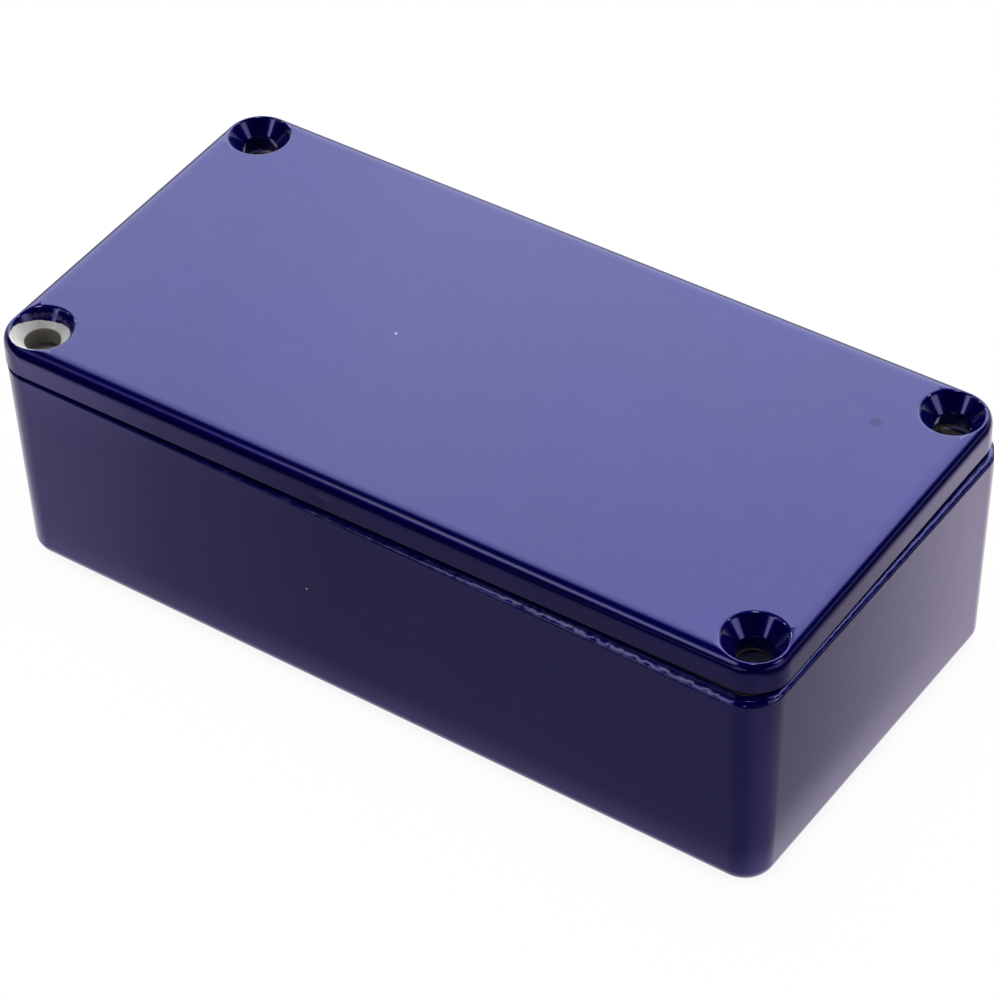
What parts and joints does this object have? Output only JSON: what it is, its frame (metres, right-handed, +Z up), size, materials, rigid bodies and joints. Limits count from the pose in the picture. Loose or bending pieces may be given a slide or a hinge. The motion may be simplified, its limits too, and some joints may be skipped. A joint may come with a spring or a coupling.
{
  "type": "die-cast enclosure",
  "caption": "Rectangular die-cast metal electronics box with a lift-off countersunk lid, tapped corner bosses and loose lid screws; houses a circuit board.",
  "frame": {"origin": "centre of the box's flat underside", "axes": "+X along the length, -Y out of the long front side, +Z up out of the lid"},
  "size_m": [0.1011, 0.0514, 0.0312],
  "materials": {
    "box_paint": "gloss dark blue paint on cast metal, bare cast metal inside",
    "lid_paint": "gloss dark blue paint on cast metal, bare cast metal underneath",
    "screw_steel": "zinc plated steel"
  },
  "bodies": {
    "base": {"base_box": "box_paint", "lid_screw_1": "screw_steel", "lid_screw_2": "screw_steel", "lid_screw_3": "screw_steel", "lid_screw_4": "screw_steel"},
    "lid": {"lid": "lid_paint"}
  },
  "joints": [
    {"name": "lid_lift", "type": "slide", "parent": "base", "child": "lid", "axis": [0, 0, 1], "range_m": [0, 0.06]}
  ]
}
